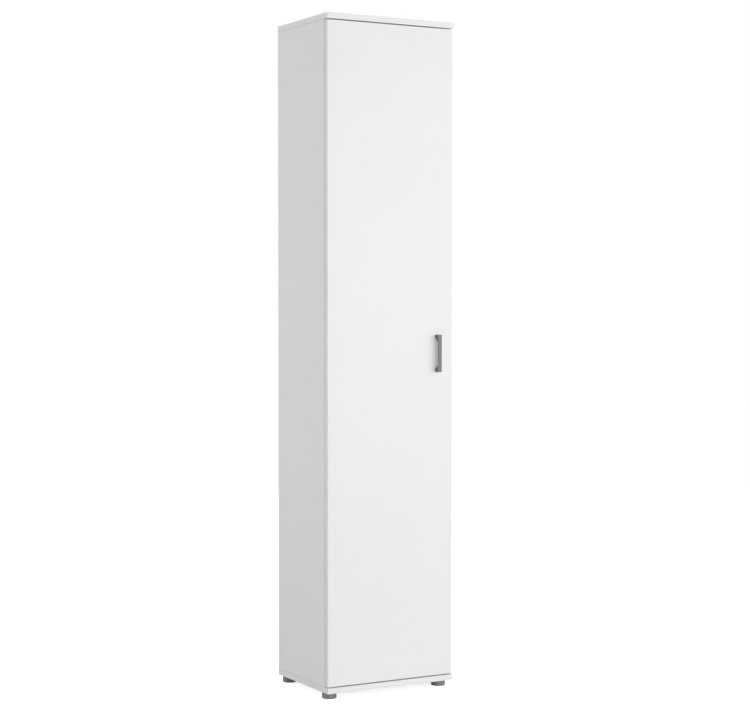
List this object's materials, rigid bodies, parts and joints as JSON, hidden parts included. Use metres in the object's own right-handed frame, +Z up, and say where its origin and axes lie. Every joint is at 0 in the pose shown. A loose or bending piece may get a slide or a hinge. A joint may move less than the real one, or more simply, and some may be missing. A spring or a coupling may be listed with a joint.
{
  "type": "broom cupboard",
  "caption": "Tall narrow broom cupboard: white board carcass on short round feet, one full-height door on concealed hinges, grey bow handle, shelves above the broom space.",
  "frame": {"origin": "middle of the ground under the cupboard: bottom centre of its box, which runs from the handle's front to the back sheets' joining strip", "axes": "+X to the cupboard's right as seen from its front, front faces -Y, +Z up"},
  "size_m": [0.4, 0.3254, 1.875],
  "materials": {
    "white_board": "white melamine film on particle board",
    "white_hardboard": "white painted hardboard",
    "white_plastic": "extruded, smooth",
    "grey_plastic": "moulded, fine grain",
    "grey_paint": "satin grey lacquer",
    "plated_steel": "nickel plated",
    "zinc": "die-cast zinc, bright",
    "beech": "fluted beech, bare",
    "soft_clear": "soft, translucent"
  },
  "bodies": {
    "carcass": {"top_panel": "white_board", "bottom_panel": "white_board", "left_side_panel": "white_board", "right_side_panel": "white_board", "fixed_shelf": "white_board", "adjustable_shelf": "white_board", "shelf_pins": "plated_steel", "back_panel_upper": "white_hardboard", "back_panel_lower": "white_hardboard", "back_joining_strip": "white_plastic", "back_nails": "plated_steel", "cam_discs": "zinc", "cam_bolts": "zinc", "wooden_dowels": "beech", "front_left_foot": "grey_plastic", "front_right_foot": "grey_plastic", "back_left_foot": "grey_plastic", "back_right_foot": "grey_plastic", "foot_screws": "plated_steel", "wall_bracket": "plated_steel", "wall_bracket_screws": "plated_steel", "hinge_1_mounting_plate": "plated_steel", "hinge_1_arm": "plated_steel", "hinge_2_mounting_plate": "plated_steel", "hinge_2_arm": "plated_steel", "hinge_3_mounting_plate": "plated_steel", "hinge_3_arm": "plated_steel", "hinge_4_mounting_plate": "plated_steel", "hinge_4_arm": "plated_steel", "hinge_plate_screws": "plated_steel", "hinge_arm_screws": "plated_steel", "hinge_arm_pins": "plated_steel"},
    "outer_links": {"hinge_1_outer_link": "plated_steel", "hinge_2_outer_link": "plated_steel", "hinge_3_outer_link": "plated_steel", "hinge_4_outer_link": "plated_steel"},
    "inner_links": {"hinge_1_inner_link": "plated_steel", "hinge_2_inner_link": "plated_steel", "hinge_3_inner_link": "plated_steel", "hinge_4_inner_link": "plated_steel"},
    "door": {"door_panel": "white_board", "door_handle": "grey_paint", "handle_screws": "plated_steel", "door_bumpers": "soft_clear", "hinge_1_cup": "plated_steel", "hinge_2_cup": "plated_steel", "hinge_3_cup": "plated_steel", "hinge_4_cup": "plated_steel", "hinge_cup_screws": "plated_steel", "hinge_cup_pins": "plated_steel"}
  },
  "joints": [
    {"name": "outer_link_swing", "type": "hinge", "parent": "carcass", "child": "outer_links", "pos_m": [-0.164, -0.11115, 0.947], "axis": [0, 0, 1], "range_deg": [0, 27.3]},
    {"name": "door_swing", "type": "hinge", "parent": "outer_links", "child": "door", "pos_m": [-0.1897, -0.13345, 0.947], "axis": [0, 0, -1], "range_deg": [0, 122.3]},
    {"name": "inner_link_swing", "type": "hinge", "parent": "carcass", "child": "inner_links", "pos_m": [-0.1695, -0.13455, 0.947], "axis": [0, 0, 1], "range_deg": [0, 41.6]}
  ],
  "couplings": [
    {"joint": "outer_link_swing", "follows": "door_swing", "ratio": 0.22322},
    {"joint": "inner_link_swing", "follows": "door_swing", "ratio": 0.34014}
  ]
}
